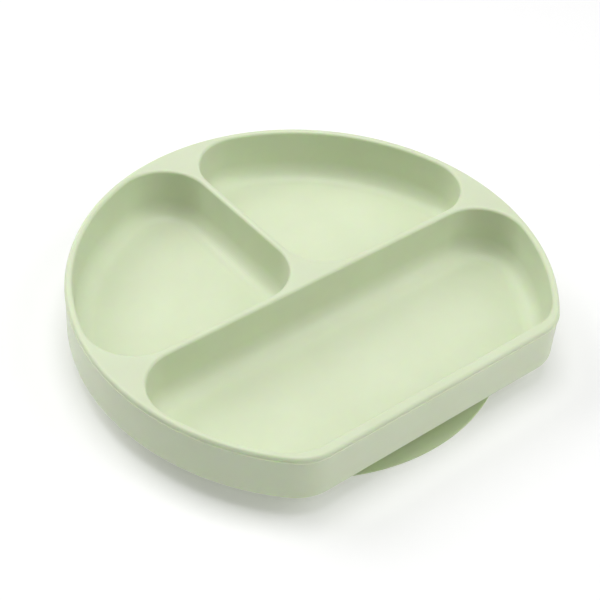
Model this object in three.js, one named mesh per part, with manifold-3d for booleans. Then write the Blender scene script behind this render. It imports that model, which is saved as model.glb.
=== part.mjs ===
// Divided suction plate for a baby: a moulded silicone tray with three compartments, held
// on a shallow suction cup with a release tab. Millimetres, +Z up, flat side facing -Y.
//
// The tray is laid out around the centre of its round outline and is symmetric about X = 0.
// The exported group moves that centre, so that the origin is the centre of the whole
// part's footprint, on the surface that the suction cup stands on.

import * as THREE from 'three';
import { mergeVertices } from 'three/addons/utils/BufferGeometryUtils.js';
import Module from 'manifold-3d';

// Tray outline
const PLATE_RADIUS = 107.5;
const FLAT_SIDE = 83.7; // from the outline's centre to the flat side
const OUTLINE_CORNER = 22;
const RIM_WIDTH = 3.6; // between the round outline and a compartment
const FLAT_RIM_WIDTH = 5.4; // between the flat side and the long compartment

// Tray heights
const RIM_TOP = 34.2;
const OUTER_WALL = 23.1; // height of the outer wall, which ends above the table
const COMPARTMENT_DEPTH = 25.2;
const SKIN = 3.2; // moulded thickness of walls and floors
const CREST_ROUND = 1.4; // rounding along the top of every wall
const FLOOR_FILLET = 9; // soft corner between a wall and its floor
const WALL_EDGE = 0.5; // small bevel along the outer wall's lower edge

// Compartments
const DIVIDER = 3.3;
const CROSS_DIVIDER_FRONT = -2.6; // the long compartment's back wall
const FRONT_CORNER = 22;
const BACK_CORNER = 21;
const REAR_CORNER = 22;

// Suction cup
const CUP_RADIUS = 92.6;
const CUP_CENTRE = 7.5; // behind the outline's centre
const CUP_RISE = 4.65; // from the lip's top edge up to the neck's shoulder
const LIP_EDGE = 0.85; // thickness at the lip's outer edge
const LIP_BEVEL = 0.3; // across the lip's outer corners
const LIP_BEVEL_HEIGHT = 0.25;
const LIP_INNER = 84.3;
const CUP_SKIN_AT_NECK = 2.4;
const CUP_SKIN_AT_LIP = 1.3;
const SEAL_WIDTH = 4.3; // flat band that seals on the table
const NECK_RADIUS = 50;
const NECK_BOTTOM = 3;
const GAP = 0.3; // clearance between neighbouring pieces

// Release tab
const TAB_REACH = 15;
const TAB_WIDTH = 24;
const TAB_THICKNESS = 1.8;
const TAB_BOTTOM = 0.3;
const TAB_END_ROUND = 8;
const TAB_EDGE = 0.4;

// Facets
const ARC_STEP = THREE.MathUtils.degToRad(6);
const BEND_STEPS = 4; // facets across a crest or a floor fillet
const SKIRT_STEPS = 4; // facets along the cup's skirt
const TURN_STEPS = 96; // facets around the suction cup
const SAME_POINT = 0.001; // points closer than this are one point
const CUT_ABOVE = 1; // how far a cutting solid reaches past the surface it opens

const FLOOR_TOP = RIM_TOP - COMPARTMENT_DEPTH;
const FLOOR_BOTTOM = FLOOR_TOP - SKIN;
const WALL_BOTTOM = RIM_TOP - OUTER_WALL;
const INNER_RADIUS = PLATE_RADIUS - RIM_WIDTH;
const FOOTPRINT_CENTRE = CUP_CENTRE + TAB_REACH / 2;

const wasm = await Module();
wasm.setup();

// ---------------------------------------------------------------------------------------
// Outlines: closed convex runs of tangent arcs, anticlockwise, with straight lines between
// ---------------------------------------------------------------------------------------

// Centre of a corner arc that touches a line Y = line from the side given, and a circle
// around the origin from inside.
function cornerOnCircle(line, side, circle, corner) {
  const y = line + side * corner;
  return { x: Math.sqrt((circle - corner) ** 2 - y ** 2), y };
}

function arc(x, y, radius, from, to) {
  return { x, y, radius, from, to };
}

// The same arcs on the other side of X = 0, still anticlockwise.
function mirrored(arcs) {
  return arcs.map(({ x, y, radius, from, to }) => arc(-x, y, radius, Math.PI - to, Math.PI - from))
    .reverse();
}

function trayOutline() {
  const corner = cornerOnCircle(-FLAT_SIDE, 1, PLATE_RADIUS, OUTLINE_CORNER);
  const turn = Math.atan2(corner.y, corner.x);
  const right = [
    arc(corner.x, corner.y, OUTLINE_CORNER, -Math.PI / 2, turn),
    arc(0, 0, PLATE_RADIUS, turn, 0),
    arc(0, 0, PLATE_RADIUS, 0, Math.PI / 2),
  ];
  return [...right, ...mirrored(right)];
}

function longCompartmentOutline() {
  const front = cornerOnCircle(FLAT_RIM_WIDTH - FLAT_SIDE, 1, INNER_RADIUS, FRONT_CORNER);
  const back = cornerOnCircle(CROSS_DIVIDER_FRONT, -1, INNER_RADIUS, BACK_CORNER);
  const low = Math.atan2(front.y, front.x);
  const high = Math.atan2(back.y, back.x);
  const right = [
    arc(front.x, front.y, FRONT_CORNER, -Math.PI / 2, low),
    arc(0, 0, INNER_RADIUS, low, high),
    arc(back.x, back.y, BACK_CORNER, high, Math.PI / 2),
  ];
  return [...right, ...mirrored(right)];
}

// The right-hand one of the pair. Its back corner touches the divider, a line X = left, so
// that corner is worked out with X and Y exchanged.
function rearCompartmentOutline() {
  const left = DIVIDER / 2;
  const frontLine = CROSS_DIVIDER_FRONT + DIVIDER;
  const outer = cornerOnCircle(frontLine, 1, INNER_RADIUS, REAR_CORNER);
  const back = cornerOnCircle(left, 1, INNER_RADIUS, REAR_CORNER);
  const low = Math.atan2(outer.y, outer.x);
  const high = Math.atan2(back.x, back.y);
  return [
    arc(left + REAR_CORNER, frontLine + REAR_CORNER, REAR_CORNER, Math.PI, 1.5 * Math.PI),
    arc(outer.x, outer.y, REAR_CORNER, -Math.PI / 2, low),
    arc(0, 0, INNER_RADIUS, low, high),
    arc(back.y, back.x, REAR_CORNER, high, Math.PI),
  ];
}

// Points around an outline, drawn in by an inset, at one height.
function ring(arcs, inset, z) {
  const points = arcs.flatMap(({ x, y, radius, from, to }) => {
    const steps = Math.ceil((to - from) / ARC_STEP);
    return Array.from({ length: steps + 1 }, (_, i) => {
      const angle = from + ((to - from) * i) / steps;
      const reach = radius - inset;
      return new THREE.Vector3(x + reach * Math.cos(angle), y + reach * Math.sin(angle), z);
    });
  });
  return points.filter((point, i) => {
    const next = points[(i + 1) % points.length];
    return point.distanceTo(next) > SAME_POINT;
  });
}

// ---------------------------------------------------------------------------------------
// Solids
// ---------------------------------------------------------------------------------------

// A closed skin over rings with the same number of points, from the bottom ring to the top.
function loft(rings) {
  const count = rings[0].length;
  const faces = [];
  for (let level = 0; level + 1 < rings.length; level += 1) {
    for (let i = 0; i < count; i += 1) {
      const a = level * count + i;
      const b = level * count + ((i + 1) % count);
      faces.push(a, b, b + count, a, b + count, a + count);
    }
  }
  const top = (rings.length - 1) * count;
  for (const [a, b, c] of THREE.ShapeUtils.triangulateShape(rings[0], [])) {
    faces.push(a, c, b, top + a, top + b, top + c);
  }
  const geometry = new THREE.BufferGeometry().setFromPoints(rings.flat());
  geometry.setIndex(faces);
  return geometry;
}

function toSolid(geometry) {
  const bare = geometry.clone();
  bare.deleteAttribute('normal');
  bare.deleteAttribute('uv');
  const merged = mergeVertices(bare);
  return new wasm.Manifold(new wasm.Mesh({
    numProp: 3,
    vertProperties: new Float32Array(merged.attributes.position.array),
    triVerts: new Uint32Array(merged.index.array),
  }));
}

function fromSolid(solid) {
  const { vertProperties, triVerts } = solid.getMesh();
  const geometry = new THREE.BufferGeometry();
  geometry.setAttribute('position', new THREE.BufferAttribute(vertProperties, 3));
  geometry.setIndex(new THREE.BufferAttribute(triVerts, 1));
  return geometry.toNonIndexed();
}

// A quarter circle in equal steps, from its level end to its upright end.
function quarterBend(radius) {
  return Array.from({ length: BEND_STEPS + 1 }, (_, i) => {
    const angle = (i / BEND_STEPS) * (Math.PI / 2);
    return { inward: radius * (1 - Math.sin(angle)), up: radius * (1 - Math.cos(angle)) };
  });
}

// ---------------------------------------------------------------------------------------
// Tray
// ---------------------------------------------------------------------------------------

// The hollow of one compartment: fillet, straight wall, and a mouth that rounds outward.
function compartmentHollow(arcs) {
  const fillet = quarterBend(FLOOR_FILLET)
    .map(({ inward, up }) => ring(arcs, inward, FLOOR_TOP + up));
  const mouth = quarterBend(CREST_ROUND)
    .map(({ inward, up }) => ring(arcs, -inward, RIM_TOP - up)).reverse();
  return loft([...fillet, ...mouth, ring(arcs, -CREST_ROUND, RIM_TOP + CUT_ABOVE)]);
}

// Rings around the rounded underside, from the flat bottom out to the outer wall's edge.
function undersideRings(arcs) {
  const bend = FLOOR_FILLET + SKIN;
  const centre = FLOOR_BOTTOM + bend;
  const lowest = Math.asin((centre - WALL_BOTTOM) / bend);
  return Array.from({ length: BEND_STEPS + 1 }, (_, i) => {
    const angle = THREE.MathUtils.lerp(Math.PI / 2, lowest, i / BEND_STEPS);
    const inset = RIM_WIDTH + FLOOR_FILLET - bend * Math.cos(angle);
    return ring(arcs, inset, centre - bend * Math.sin(angle));
  });
}

// The tray before its hollows are cut: rounded underside, outer wall and rounded rim.
function trayBlank() {
  const arcs = trayOutline();
  const rim = quarterBend(CREST_ROUND)
    .map(({ inward, up }) => ring(arcs, inward, RIM_TOP - up)).reverse();
  return loft([
    ...undersideRings(arcs),
    ring(arcs, WALL_EDGE, WALL_BOTTOM),
    ring(arcs, 0, WALL_BOTTOM + WALL_EDGE),
    ...rim,
  ]);
}

function trayGeometry() {
  const rear = rearCompartmentOutline();
  const hollows = [longCompartmentOutline(), rear, mirrored(rear)].map(compartmentHollow);
  const cut = (tray, hollow) => tray.subtract(toSolid(hollow));
  return fromSolid(hollows.reduce(cut, toSolid(trayBlank())));
}

// ---------------------------------------------------------------------------------------
// Suction cup
// ---------------------------------------------------------------------------------------

// Height of the cup's upper surface at a radius: flat at the neck, steeper to the lip.
function cupTop(radius) {
  const run = (radius - NECK_RADIUS) / (CUP_RADIUS - NECK_RADIUS);
  return LIP_EDGE + CUP_RISE * (1 - run ** 2);
}

// Thickness of the cup's skin: it thins steadily from the neck to the lip.
function cupThickness(radius) {
  const run = (radius - NECK_RADIUS) / (LIP_INNER - NECK_RADIUS);
  return THREE.MathUtils.lerp(CUP_SKIN_AT_NECK, CUP_SKIN_AT_LIP, run);
}

// Turns a closed profile of [radius, height] pairs around the vertical axis.
function turned(profile) {
  const points = [...profile, profile[0]].map(([radius, z]) => new THREE.Vector2(radius, z));
  return new THREE.LatheGeometry(points, TURN_STEPS).rotateX(Math.PI / 2);
}

function neckGeometry() {
  const top = FLOOR_BOTTOM - GAP;
  const radius = NECK_RADIUS - GAP;
  const points = [[0, NECK_BOTTOM], [radius, NECK_BOTTOM], [radius, top], [0, top]]
    .map(([x, z]) => new THREE.Vector2(x, z));
  return new THREE.LatheGeometry(points, TURN_STEPS).rotateX(Math.PI / 2);
}

function skirtGeometry() {
  const radii = Array.from({ length: SKIRT_STEPS + 1 }, (_, i) => (
    THREE.MathUtils.lerp(NECK_RADIUS, LIP_INNER - GAP, i / SKIRT_STEPS)));
  const lower = radii.map((radius) => [radius, cupTop(radius) - cupThickness(radius)]);
  const upper = radii.map((radius) => [radius, cupTop(radius)]);
  return turned([...lower, ...upper.reverse()]);
}

function lipGeometry() {
  const sealOuter = CUP_RADIUS - LIP_BEVEL;
  const sealInner = sealOuter - SEAL_WIDTH;
  const innerTop = cupTop(LIP_INNER);
  return turned([
    [LIP_INNER, innerTop - cupThickness(LIP_INNER)],
    [sealInner, 0],
    [sealOuter, 0],
    [CUP_RADIUS, LIP_BEVEL_HEIGHT],
    [CUP_RADIUS, LIP_EDGE - LIP_BEVEL_HEIGHT],
    [sealOuter, LIP_EDGE],
    [(LIP_INNER + CUP_RADIUS) / 2, cupTop((LIP_INNER + CUP_RADIUS) / 2)],
    [LIP_INNER, innerTop],
  ]);
}

// The tab's root follows the lip, and its free end is rounded.
function tabGeometry() {
  const root = CUP_RADIUS + GAP + TAB_EDGE;
  const half = TAB_WIDTH / 2 - TAB_EDGE;
  const spread = Math.asin(half / root);
  const across = half - TAB_END_ROUND;
  const along = CUP_RADIUS + TAB_REACH - TAB_EDGE - TAB_END_ROUND;
  const shape = new THREE.Shape();
  shape.absarc(0, 0, root, Math.PI / 2 + spread, Math.PI / 2 - spread, true);
  shape.absarc(across, along, TAB_END_ROUND, 0, Math.PI / 2);
  shape.absarc(-across, along, TAB_END_ROUND, Math.PI / 2, Math.PI);
  return new THREE.ExtrudeGeometry(shape, {
    depth: TAB_THICKNESS - 2 * TAB_EDGE,
    bevelThickness: TAB_EDGE,
    bevelSize: TAB_EDGE,
    bevelSegments: 2,
    curveSegments: 8,
  }).translate(0, 0, TAB_BOTTOM + TAB_EDGE);
}

// ---------------------------------------------------------------------------------------
// Assembly
// ---------------------------------------------------------------------------------------

// Food-grade silicone in a pale sage green, with a soft satin surface.
function silicone() {
  return new THREE.MeshStandardMaterial({ color: 0xcdd9b4, roughness: 0.5, metalness: 0 });
}

function named(name, geometry) {
  const mesh = new THREE.Mesh(geometry, silicone());
  mesh.name = name;
  return mesh;
}

const cup = new THREE.Group();
cup.position.y = CUP_CENTRE;
cup.add(
  named('cup_neck', neckGeometry()),
  named('cup_skirt', skirtGeometry()),
  named('sealing_lip', lipGeometry()),
  named('release_tab', tabGeometry()),
);

const plate = new THREE.Group();
plate.position.y = -FOOTPRINT_CENTRE;
plate.add(named('tray', trayGeometry()), cup);

export default plate;
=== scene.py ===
"""Divided silicone suction plate: its looks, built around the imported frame.

Metres, +Z up, the flat side facing -Y and the table at Z = 0. The tray is symmetric about
X = 0 and laid out around the centre of its round outline.
"""

import math

import bmesh
import bpy
import numpy as np
from mathutils import Matrix, Vector
from mathutils.geometry import delaunay_2d_cdt


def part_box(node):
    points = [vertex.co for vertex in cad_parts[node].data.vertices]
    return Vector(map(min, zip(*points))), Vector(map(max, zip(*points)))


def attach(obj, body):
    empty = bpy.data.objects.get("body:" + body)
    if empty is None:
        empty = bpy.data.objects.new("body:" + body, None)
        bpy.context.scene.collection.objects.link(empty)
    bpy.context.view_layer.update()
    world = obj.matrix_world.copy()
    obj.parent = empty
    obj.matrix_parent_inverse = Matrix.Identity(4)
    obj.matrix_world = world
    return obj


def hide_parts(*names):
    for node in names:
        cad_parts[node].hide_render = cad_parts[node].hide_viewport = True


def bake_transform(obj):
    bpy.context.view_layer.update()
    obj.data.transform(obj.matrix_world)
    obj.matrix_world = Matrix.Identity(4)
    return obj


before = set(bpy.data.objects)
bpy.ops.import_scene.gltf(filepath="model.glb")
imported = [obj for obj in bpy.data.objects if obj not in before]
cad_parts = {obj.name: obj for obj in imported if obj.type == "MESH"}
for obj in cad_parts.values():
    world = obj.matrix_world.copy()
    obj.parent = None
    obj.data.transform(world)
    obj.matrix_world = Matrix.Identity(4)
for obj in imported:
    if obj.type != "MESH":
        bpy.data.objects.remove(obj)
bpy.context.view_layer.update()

MM = 0.001

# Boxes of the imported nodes
tray_low, tray_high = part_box("tray")
neck_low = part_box("cup_neck")[0]
lip_low, lip_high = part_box("sealing_lip")
tab_low, tab_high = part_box("release_tab")

# Tray outline
PLATE_RADIUS = tray_high.x
PLATE_Y = tray_high.y - PLATE_RADIUS
FLAT_SIDE = PLATE_Y - tray_low.y
OUTLINE_CORNER = 22 * MM
RIM_WIDTH = 3.6 * MM
FLAT_RIM_WIDTH = 5.4 * MM

# Tray heights and wall profile
UNDERSIDE = tray_low.z
RIM_TOP = tray_high.z
FLOOR_TOP = UNDERSIDE + 3.2 * MM
WALL_BOTTOM = RIM_TOP - 23.1 * MM
CREST_ROUND = 1.4 * MM
FLOOR_FILLET = 9 * MM
UNDERSIDE_BEND = 12.2 * MM
DRAFT = math.radians(1)
WALL_EDGE = 0.5 * MM
PARTING_DROP = 2.5 * MM  # from the rim's top down to the mould's parting line
PARTING_HALF = 0.32 * MM  # half the height of its bead
PARTING_PROUD = 0.4 * MM  # the rest of the outer wall stays behind the CAD's by as much

# Compartments
DIVIDER = 3.3 * MM
CROSS_DIVIDER_FRONT = -2.6 * MM
FRONT_CORNER = 22 * MM
BACK_CORNER = 21 * MM
REAR_CORNER = 22 * MM

# Suction cup
CUP_Y = (lip_low.y + lip_high.y) / 2
CUP_RADIUS = lip_high.x
NECK_RADIUS = 50 * MM
CHAMBER_TOP = neck_low.z
CHAMBER_EDGE = NECK_RADIUS + 3 * MM
SKIN_AT_NECK = 2.4 * MM
SKIN_AT_LIP = 1.3 * MM
LIP_EDGE = 0.85 * MM
LIP_EDGE_ROUND = 0.3 * MM
LIP_INNER = 84.3 * MM
CUP_RISE = 4.65 * MM
SEAL_OUTER = CUP_RADIUS - LIP_EDGE_ROUND
SEAL_INNER = SEAL_OUTER - 4.3 * MM
NECK_TOP_INSET = 2 * MM
FOOT_ROUND = 1.2 * MM
FOOT_SUNK = 0.9 * MM  # the foot goes into the tray's underside, so that no gap shows

# Release tab
TAB_ROOT = 89.5 * MM  # radius at which the tab comes out of the lip
TAB_PAD = 1.5 * MM
TAB_THIN = 0.4 * MM  # how much thinner than its pad it is at the root
TAB_THICKENS = (CUP_RADIUS - 1 * MM, CUP_RADIUS + 4 * MM)
TAB_EDGE = 0.45 * MM
TAB_HEEL_ROUND = 1.2 * MM
TAB_END_ROUND = 8 * MM
RIB_LINES = (6.6 * MM, 8.8 * MM, 11 * MM)  # past the lip
RIB_HEIGHT = 0.3 * MM
RIB_HALF_WIDTH = 0.75 * MM
RIB_HALF_LENGTH = 5.5 * MM
RIB_END = 1.2 * MM

# Silicone surface: noise scales per metre, and bump heights
CLOUD_SCALE = 55
SATIN_SCALE = 420
SKIN_SCALE = 900
SKIN_HEIGHT = 0.02 * MM
GRAIN_SCALE = 5200
GRAIN_HEIGHT = 0.01 * MM
ROUGHNESS_SWING = 0.03

# Studio
LIGHT_DISTANCE = 1.4
TABLE_RADIUS = 12
TABLE_PALENESS = 0.82
TABLE_GLOW = 0.2
BACKDROP_HEIGHT = 1.9
BACKDROP_PALENESS = 0.3
BACKDROP_GLOW = 0.25

# Mesh fineness
POINT_STEP = 1.5 * MM
CAP_STEP = 5 * MM
TAB_POINT_STEP = 0.5 * MM
TAB_BOTTOM_STEP = 1.5 * MM
TAB_TOP_STEP = 0.3 * MM
SUPPORT = 0.12 * MM
CUP_TURNS = 288
TABLE_TURNS = 96
UNDERSIDE_STEPS = 14
WALL_EDGE_STEPS = 5
BEAD_STEPS = 8
CREST_STEPS = 9
FILLET_STEPS = 16
SKIRT_UNDER_STEPS = 16
SKIRT_TOP_STEPS = 24
SMALL_ROUND_STEPS = 4


# ---------------------------------------------------------------------------------------
# Outlines: closed convex runs of tangent arcs, anticlockwise, around the plate's centre
# ---------------------------------------------------------------------------------------

def corner_on_circle(line, side, circle, corner):
    """Centre of a corner arc that touches a line Y = line from one side, and a circle inside."""
    y = line + side * corner
    return math.sqrt((circle - corner) ** 2 - y ** 2), y


def mirrored(arcs):
    """The same arcs on the other side of X = 0, still anticlockwise."""
    return [(-x, y, r, math.pi - end, math.pi - start) for x, y, r, start, end in reversed(arcs)]


def tray_outline():
    x, y = corner_on_circle(-FLAT_SIDE, 1, PLATE_RADIUS, OUTLINE_CORNER)
    turn = math.atan2(y, x)
    right = [
        (x, y, OUTLINE_CORNER, -math.pi / 2, turn),
        (0, 0, PLATE_RADIUS, turn, math.pi / 2),
    ]
    return right + mirrored(right)


def long_compartment():
    inner = PLATE_RADIUS - RIM_WIDTH
    fx, fy = corner_on_circle(FLAT_RIM_WIDTH - FLAT_SIDE, 1, inner, FRONT_CORNER)
    bx, by = corner_on_circle(CROSS_DIVIDER_FRONT, -1, inner, BACK_CORNER)
    low, high = math.atan2(fy, fx), math.atan2(by, bx)
    right = [
        (fx, fy, FRONT_CORNER, -math.pi / 2, low),
        (0, 0, inner, low, high),
        (bx, by, BACK_CORNER, high, math.pi / 2),
    ]
    return right + mirrored(right)


def rear_compartment():
    """The right-hand one. Its back corner touches the divider, so X and Y swap for it."""
    inner = PLATE_RADIUS - RIM_WIDTH
    left, front = DIVIDER / 2, CROSS_DIVIDER_FRONT + DIVIDER
    ox, oy = corner_on_circle(front, 1, inner, REAR_CORNER)
    by, bx = corner_on_circle(left, 1, inner, REAR_CORNER)
    low, high = math.atan2(oy, ox), math.atan2(by, bx)
    return [
        (left + REAR_CORNER, front + REAR_CORNER, REAR_CORNER, math.pi, 1.5 * math.pi),
        (ox, oy, REAR_CORNER, -math.pi / 2, low),
        (0, 0, inner, low, high),
        (bx, by, REAR_CORNER, high, math.pi),
    ]


def outline_points(arcs, inset, step):
    """Points around an outline drawn in by inset. Every inset gives the same number of points."""
    points = []
    for i, (x, y, radius, start, end) in enumerate(arcs):
        turns = max(2, math.ceil(radius * (end - start) / step))
        reach = radius - inset
        for k in range(turns + 1):
            angle = start + (end - start) * k / turns
            points.append(Vector((x + reach * math.cos(angle), y + reach * math.sin(angle))))
        x2, y2, radius2, start2, _ = arcs[(i + 1) % len(arcs)]
        reach2 = radius2 - inset
        begin = Vector((x2 + reach2 * math.cos(start2), y2 + reach2 * math.sin(start2)))
        pieces = math.ceil(((begin - points[-1]).length - MM / 100) / step)
        if pieces <= 0:
            points.pop()
        for k in range(1, pieces):
            points.append(points[-1].lerp(begin, 1 / (pieces - k + 1)))
    return points


# ---------------------------------------------------------------------------------------
# Profiles: (inset, height) pairs, from one end of a lofted skin to the other
# ---------------------------------------------------------------------------------------

def bend(centre, radius, start, end, steps):
    """Points of an arc in a profile, at angles from the inset axis."""
    angles = [start + (end - start) * i / steps for i in range(steps + 1)]
    return [(centre[0] + radius * math.cos(a), centre[1] + radius * math.sin(a)) for a in angles]


def supported(profile):
    """The profile with a close point beside each end of a long run, so that it shades flat."""
    points = [profile[0]]
    for a, b in zip(profile, profile[1:]):
        length = math.dist(a, b)
        if length > 4 * SUPPORT:
            for share in (SUPPORT / length, 1 - SUPPORT / length):
                points.append((a[0] + (b[0] - a[0]) * share, a[1] + (b[1] - a[1]) * share))
        points.append(b)
    return points


def outer_profile():
    """Tray outside, from the flat underside round to the top of the rim."""
    turn = (RIM_WIDTH + FLOOR_FILLET, UNDERSIDE + UNDERSIDE_BEND)
    lowest = math.asin((turn[1] - WALL_BOTTOM) / UNDERSIDE_BEND)
    under = bend(turn, UNDERSIDE_BEND, -math.pi / 2, -math.pi + lowest, UNDERSIDE_STEPS)
    edge = bend((PARTING_PROUD + WALL_EDGE, WALL_BOTTOM + WALL_EDGE), WALL_EDGE,
                1.5 * math.pi, math.pi, WALL_EDGE_STEPS)
    parting = RIM_TOP - PARTING_DROP
    bead = []
    for i in range(BEAD_STEPS + 1):
        along = -1 + 2 * i / BEAD_STEPS
        proud = PARTING_PROUD * math.cos(along * math.pi / 2) ** 2
        bead.append((PARTING_PROUD - proud, parting + along * PARTING_HALF))
    crest = bend((PARTING_PROUD + CREST_ROUND, RIM_TOP - CREST_ROUND), CREST_ROUND,
                 math.pi, math.pi / 2, CREST_STEPS)
    start = (under[0][0] + 2 * SUPPORT, UNDERSIDE)
    end = (crest[-1][0] + SUPPORT, RIM_TOP)
    return supported([start] + under + edge + bead + crest + [end])


def compartment_profile():
    """Compartment inside, from the top of the rim down to its floor."""
    crest = bend((-CREST_ROUND, RIM_TOP - CREST_ROUND), CREST_ROUND, math.pi / 2, 0, CREST_STEPS)
    middle = FLOOR_TOP + FLOOR_FILLET
    lean = (RIM_TOP - CREST_ROUND - middle) * math.tan(DRAFT)
    centre = (lean + FLOOR_FILLET / math.cos(DRAFT), middle)
    fillet = bend(centre, FLOOR_FILLET, math.pi + DRAFT, 1.5 * math.pi, FILLET_STEPS)
    start = (-CREST_ROUND - SUPPORT, RIM_TOP)
    end = (fillet[-1][0] + 2 * SUPPORT, FLOOR_TOP)
    return supported([start] + crest + fillet + [end])


# ---------------------------------------------------------------------------------------
# Mesh building
# ---------------------------------------------------------------------------------------

def loft(mesh, rings):
    """Quads between neighbouring rings of points. Returns the first and last ring's vertices."""
    previous = first = None
    for points in rings:
        current = [mesh.verts.new(point) for point in points]
        if previous:
            for i, vertex in enumerate(previous):
                j = (i + 1) % len(previous)
                mesh.faces.new((vertex, previous[j], current[j], current[i]))
        first = first or current
        previous = current
    return first, previous


def inside(points, loop):
    """Which points lie inside a closed loop, by crossings."""
    a, b = loop, np.roll(loop, -1, axis=0)
    x, y = points[:, :1], points[:, 1:]
    spans = (a[:, 1] > y) != (b[:, 1] > y)
    rise = np.where(spans, b[:, 1] - a[:, 1], 1)
    crossing = a[:, 0] + (y - a[:, 1]) * (b[:, 0] - a[:, 0]) / rise
    return (spans & (x < crossing)).sum(axis=1) % 2 == 1


def flat_cap(mesh, loops, step):
    """Fills a level face inside the first loop and outside the others, with even triangles."""
    outlines = [np.array([vertex.co.xy for vertex in loop]) for loop in loops]
    edge_points = np.vstack(outlines)
    low, high = outlines[0].min(axis=0), outlines[0].max(axis=0)
    columns, rows = np.meshgrid(np.arange(low[0], high[0], step),
                                np.arange(low[1], high[1], step * math.sqrt(3) / 2))
    columns[::2] += step / 2
    grid = np.column_stack([columns.ravel(), rows.ravel()])

    def in_face(points):
        holes = [inside(points, outline) for outline in outlines[1:]]
        return inside(points, outlines[0]) & ~np.any(holes, axis=0)

    grid = grid[in_face(grid)]
    gaps = np.array([np.hypot(*(edge_points - point).T).min() for point in grid])
    grid = grid[gaps > step * 0.6]  # none so near the edge that it makes slivers
    height = loops[0][0].co.z
    vertices = [vertex for loop in loops for vertex in loop]
    vertices += [mesh.verts.new((x, y, height)) for x, y in grid]
    edges = []
    for loop in loops:
        base = len(edges)
        edges += [(base + i, base + (i + 1) % len(loop)) for i in range(len(loop))]
    flat = [Vector(vertex.co.xy) for vertex in vertices]
    made, _, triangles, sources, _, _ = delaunay_2d_cdt(flat, edges, [], 0, 1e-9)
    centres = np.array([sum((made[i] for i in t), Vector((0, 0))) / 3 for t in triangles])
    for triangle, kept in zip(triangles, in_face(centres)):
        if kept:
            mesh.faces.new([vertices[sources[i][0]] for i in triangle])


def finished(name, mesh):
    """Turns the built mesh into a smooth-shaded object with its faces pointing out."""
    bmesh.ops.recalc_face_normals(mesh, faces=mesh.faces)
    data = bpy.data.meshes.new(name)
    mesh.to_mesh(data)
    mesh.free()
    data.shade_smooth()
    piece = bpy.data.objects.new(name, data)
    bpy.context.scene.collection.objects.link(piece)
    return piece


# ---------------------------------------------------------------------------------------
# Pieces
# ---------------------------------------------------------------------------------------

def tray_rings(arcs, profile):
    """Rings of an outline at each step of a profile, moved to the plate's place."""
    for inset, z in profile:
        yield [(p.x, p.y + PLATE_Y, z) for p in outline_points(arcs, inset, POINT_STEP)]


def tray_moulding():
    """The one-piece tray: rounded underside, outer wall with its parting line, compartments."""
    mesh = bmesh.new()
    underside, rim = loft(mesh, tray_rings(tray_outline(), outer_profile()))
    flat_cap(mesh, [underside], CAP_STEP)
    rear = rear_compartment()
    mouths = []
    for arcs in (long_compartment(), rear, mirrored(rear)):
        mouth, floor = loft(mesh, tray_rings(arcs, compartment_profile()))
        flat_cap(mesh, [floor], CAP_STEP)
        mouths.append(mouth)
    flat_cap(mesh, [rim] + mouths, CAP_STEP)
    piece = finished("tray_moulding", mesh)
    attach(piece, "dish")
    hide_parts("tray")
    return piece


def cup_top(radius):
    """Height of the cup's upper surface at a radius: flat at the neck, steeper to the lip."""
    run = (radius - NECK_RADIUS) / (CUP_RADIUS - NECK_RADIUS)
    return LIP_EDGE + CUP_RISE * (1 - run ** 2)


def spread(start, end, steps):
    """Evenly spaced values from start to end, both included."""
    return [start + (end - start) * i / steps for i in range(steps + 1)]


def skirt_underside(radius):
    """Height of the chamber's ceiling: the skirt thins from the neck to the lip."""
    run = (radius - NECK_RADIUS) / (LIP_INNER - NECK_RADIUS)
    return cup_top(radius) - (SKIN_AT_NECK + (SKIN_AT_LIP - SKIN_AT_NECK) * run)


def cup_profile():
    """(radius, height) from the middle of the vacuum chamber, round the lip, to the neck's top."""
    chamber = [(NECK_RADIUS - NECK_TOP_INSET, CHAMBER_TOP), (NECK_RADIUS, CHAMBER_TOP)]
    under = [(r, skirt_underside(r)) for r in spread(CHAMBER_EDGE, LIP_INNER, SKIRT_UNDER_STEPS)]
    seal = [(SEAL_INNER, 0), (SEAL_OUTER, 0)]
    edge = (bend((SEAL_OUTER, LIP_EDGE_ROUND), LIP_EDGE_ROUND,
                 -math.pi / 2, 0, SMALL_ROUND_STEPS)[1:]
            + bend((SEAL_OUTER, LIP_EDGE - LIP_EDGE_ROUND), LIP_EDGE_ROUND,
                   0, math.pi / 2, SMALL_ROUND_STEPS))
    over = [(r, cup_top(r)) for r in spread(SEAL_OUTER - MM / 2, CHAMBER_EDGE, SKIRT_TOP_STEPS)]
    foot = bend((NECK_RADIUS + NECK_TOP_INSET, UNDERSIDE + FOOT_SUNK), FOOT_ROUND,
                -math.pi / 2, -math.pi * 0.82, SMALL_ROUND_STEPS)
    return supported(chamber + under + seal + edge + over + foot)


def cup_moulding():
    """The one-piece suction cup: neck, thin skirt and sealing lip."""
    mesh = bmesh.new()
    angles = [2 * math.pi * i / CUP_TURNS for i in range(CUP_TURNS)]
    rings = [[(r * math.cos(a), CUP_Y + r * math.sin(a), z) for a in angles]
             for r, z in cup_profile()]
    chamber, neck = loft(mesh, rings)
    flat_cap(mesh, [chamber], CAP_STEP)
    flat_cap(mesh, [neck], CAP_STEP)
    piece = finished("cup_moulding", mesh)
    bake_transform(piece)
    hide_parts("cup_neck", "cup_skirt", "sealing_lip")
    return piece


def tab_outline():
    """The tongue, from inside the lip to its rounded end, around the cup's centre."""
    half, tip = tab_high.x, tab_high.y - CUP_Y
    heel = (half - TAB_HEEL_ROUND, TAB_ROOT + TAB_HEEL_ROUND, TAB_HEEL_ROUND, -math.pi / 2, 0)
    end = (half - TAB_END_ROUND, tip - TAB_END_ROUND, TAB_END_ROUND, 0, math.pi / 2)
    return [heel, end] + mirrored([heel, end])


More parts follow.
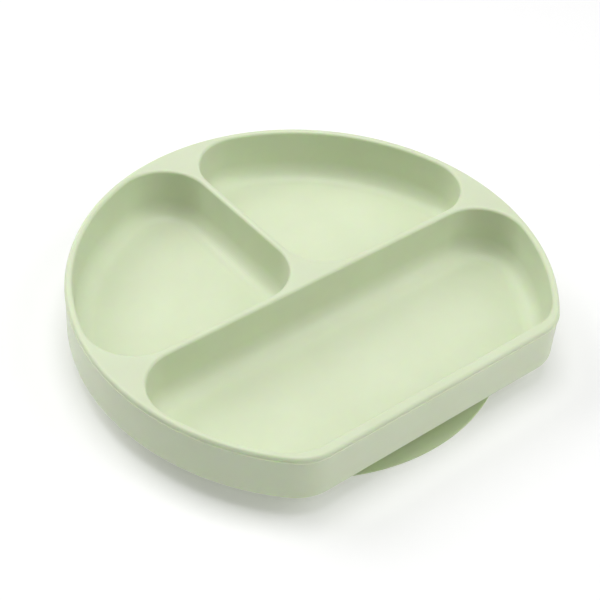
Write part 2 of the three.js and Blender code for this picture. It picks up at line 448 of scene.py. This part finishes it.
def tab_rise(x, y):
    """How far the tab's upper face stands above the height of its thin root."""
    start, full = TAB_THICKENS
    run = min(1, max(0, (y - start) / (full - start)))
    rise = TAB_THIN * run * run * (3 - 2 * run)
    for line in RIB_LINES:
        across = (y - CUP_RADIUS - line) / RIB_HALF_WIDTH
        along = max(0, abs(x) - RIB_HALF_LENGTH) / RIB_END
        reach = math.hypot(across, along)
        if reach < 1:
            rise += RIB_HEIGHT * math.cos(reach * math.pi / 2) ** 2
    return rise


def release_tab_moulding():
    """The tongue that is pulled up to let air under the lip, with three ribs to grip."""
    low, high = tab_low.z, tab_low.z + TAB_PAD - TAB_THIN
    side = bend((TAB_EDGE, low + TAB_EDGE), TAB_EDGE,
                1.5 * math.pi, math.pi, SMALL_ROUND_STEPS)
    side += bend((TAB_EDGE, high - TAB_EDGE), TAB_EDGE,
                 math.pi, math.pi / 2, SMALL_ROUND_STEPS)
    profile = supported([(TAB_EDGE + SUPPORT, low)] + side + [(TAB_EDGE + SUPPORT, high)])
    arcs = tab_outline()
    rings = [[(p.x, p.y + CUP_Y, z) for p in outline_points(arcs, inset, TAB_POINT_STEP)]
             for inset, z in profile]
    mesh = bmesh.new()
    bottom, top = loft(mesh, rings)
    flat_cap(mesh, [bottom], TAB_BOTTOM_STEP)
    flat_cap(mesh, [top], TAB_TOP_STEP)
    middle = (low + high) / 2
    for vertex in mesh.verts:
        if vertex.co.z > middle:
            vertex.co.z += tab_rise(vertex.co.x, vertex.co.y - CUP_Y)
    piece = finished("release_tab_moulding", mesh)
    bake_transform(piece)
    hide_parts("release_tab")
    return piece


# ---------------------------------------------------------------------------------------
# Materials
# ---------------------------------------------------------------------------------------

def linear(red, green, blue):
    """A display colour, 0 to 255, as the linear colour that shaders take."""
    def one(value):
        value /= 255
        return value / 12.92 if value <= 0.04045 else ((value + 0.055) / 1.055) ** 2.4
    return one(red), one(green), one(blue), 1


def silicone(name, colour, light_colour, roughness, depth):
    """Satin moulded silicone: cloudy tint, fine grain, and light that spreads green inside."""
    material = bpy.data.materials.new(name)
    material.use_nodes = True
    nodes, links = material.node_tree.nodes, material.node_tree.links
    shader = nodes["Principled BSDF"]
    shader.inputs["IOR"].default_value = 1.41
    shader.inputs["Subsurface Weight"].default_value = 0.55
    shader.inputs["Subsurface Radius"].default_value = (0.65, 1.0, 0.35)
    shader.inputs["Subsurface Scale"].default_value = depth
    shader.inputs["Sheen Weight"].default_value = 0.05
    place = nodes.new("ShaderNodeTexCoord")

    def noise(scale, detail):
        node = nodes.new("ShaderNodeTexNoise")
        node.inputs["Scale"].default_value = scale
        node.inputs["Detail"].default_value = detail
        links.new(place.outputs["Object"], node.inputs["Vector"])
        return node.outputs["Fac"]

    def mapped(value, low, high):
        node = nodes.new("ShaderNodeMapRange")
        node.inputs["From Min"].default_value = 0.3
        node.inputs["From Max"].default_value = 0.7
        node.inputs["To Min"].default_value = low
        node.inputs["To Max"].default_value = high
        links.new(value, node.inputs["Value"])
        return node.outputs["Result"]

    cloud = nodes.new("ShaderNodeMix")
    cloud.data_type = "RGBA"
    cloud.inputs["A"].default_value = linear(*colour)
    cloud.inputs["B"].default_value = linear(*light_colour)
    links.new(mapped(noise(CLOUD_SCALE, 3), 0, 1), cloud.inputs["Factor"])
    links.new(cloud.outputs["Result"], shader.inputs["Base Color"])
    satin = mapped(noise(SATIN_SCALE, 4), roughness - ROUGHNESS_SWING, roughness + ROUGHNESS_SWING)
    links.new(satin, shader.inputs["Roughness"])

    skin = nodes.new("ShaderNodeBump")
    skin.inputs["Strength"].default_value = 0.25
    skin.inputs["Distance"].default_value = SKIN_HEIGHT
    links.new(noise(SKIN_SCALE, 2), skin.inputs["Height"])
    grain = nodes.new("ShaderNodeBump")
    grain.inputs["Strength"].default_value = 0.3
    grain.inputs["Distance"].default_value = GRAIN_HEIGHT
    links.new(noise(GRAIN_SCALE, 3), grain.inputs["Height"])
    links.new(skin.outputs["Normal"], grain.inputs["Normal"])
    links.new(grain.outputs["Normal"], shader.inputs["Normal"])
    return material


def stage_material(name, paleness, glow):
    """Plain board that glows a little, like a light table."""
    material = bpy.data.materials.new(name)
    material.use_nodes = True
    shader = material.node_tree.nodes["Principled BSDF"]
    shader.inputs["Base Color"].default_value = (paleness, paleness, paleness, 1)
    shader.inputs["Roughness"].default_value = 0.6
    shader.inputs["Emission Color"].default_value = (1, 1, 1, 1)
    shader.inputs["Emission Strength"].default_value = glow
    return material


# ---------------------------------------------------------------------------------------
# Stage, light and camera
# ---------------------------------------------------------------------------------------

def circle(radius, z):
    """A level ring of points around the middle of the table."""
    turns = [2 * math.pi * i / TABLE_TURNS for i in range(TABLE_TURNS)]
    return [(radius * math.cos(a), radius * math.sin(a), z) for a in turns]


def table_and_backdrop():
    """A wide round table inside a low wall, so that level views don't look past it."""
    mesh = bmesh.new()
    mesh.faces.new([mesh.verts.new(point) for point in circle(TABLE_RADIUS, 0)])
    table = finished("table", mesh)
    table.data.materials.append(stage_material("white_table", TABLE_PALENESS, TABLE_GLOW))
    mesh = bmesh.new()
    loft(mesh, [circle(TABLE_RADIUS, 0), circle(TABLE_RADIUS, BACKDROP_HEIGHT)])
    backdrop = finished("backdrop", mesh)
    backdrop.data.materials.append(
        stage_material("grey_backdrop", BACKDROP_PALENESS, BACKDROP_GLOW))


def sky(strength):
    world = bpy.data.worlds.new("studio")
    world.use_nodes = True
    background = world.node_tree.nodes["Background"]
    background.inputs["Color"].default_value = (1, 1, 1, 1)
    background.inputs["Strength"].default_value = strength
    bpy.context.scene.world = world


def softbox(name, azimuth, elevation, size, power):
    """A round soft light aimed at the plate, its azimuth anticlockwise from +X."""
    turn, lift = math.radians(azimuth), math.radians(elevation)
    place = LIGHT_DISTANCE * Vector((math.cos(turn) * math.cos(lift),
                                     math.sin(turn) * math.cos(lift), math.sin(lift)))
    light = bpy.data.lights.new(name, "AREA")
    light.shape = "DISK"
    light.size = size
    light.energy = power
    lamp = bpy.data.objects.new(name, light)
    lamp.location = place
    lamp.rotation_euler = (-place).to_track_quat("-Z", "Y").to_euler()
    bpy.context.scene.collection.objects.link(lamp)


def camera():
    """Above the front left, turned a little, at the photograph's angle."""
    azimuth, elevation, roll = (math.radians(a) for a in (-42.42, 42.42, 5.08))
    distance = 701.3 * MM
    target = Vector((-6.05, -14.02, 22.49)) * MM
    level = math.cos(elevation)
    back = Vector((math.sin(azimuth) * level, -math.cos(azimuth) * level, math.sin(elevation)))
    right = (-back).cross(Vector((0, 0, 1))).normalized()
    up = right.cross(-back)
    right, up = (math.cos(roll) * right + math.sin(roll) * up,
                 math.cos(roll) * up - math.sin(roll) * right)
    data = bpy.data.cameras.new("camera")
    data.sensor_width = 36
    data.lens = 96.12
    placed = bpy.data.objects.new("camera", data)
    placed.matrix_world = (Matrix.Translation(target + back * distance)
                           @ Matrix((right, up, back)).transposed().to_4x4())
    bpy.context.scene.collection.objects.link(placed)
    bpy.context.scene.camera = placed


camera()
table_and_backdrop()
sky(0.02)
softbox("overhead_softbox", 90, 88, 0.9, 10)
softbox("front_right_softbox", 318, 42, 1.0, 6.1)
softbox("back_softbox", 112, 42, 1.0, 9.8)
softbox("front_softbox", 270, 45, 1.0, 2)
bpy.context.scene.view_settings.view_transform = "Standard"

tray_silicone = silicone("tray_silicone", (216, 225, 196), (219, 228, 200), 0.4, 3 * MM)
# The cup's silicone is mixed darker and greener than the tray's: this is painted shade for the
# shadow under the tray. Its rougher satin and shorter light spread are its own.
cup_silicone = silicone("cup_silicone", (198, 212, 171), (201, 215, 175), 0.5, 1.5 * MM)
tray_moulding().data.materials.append(tray_silicone)
cup_moulding().data.materials.append(cup_silicone)
release_tab_moulding().data.materials.append(cup_silicone)
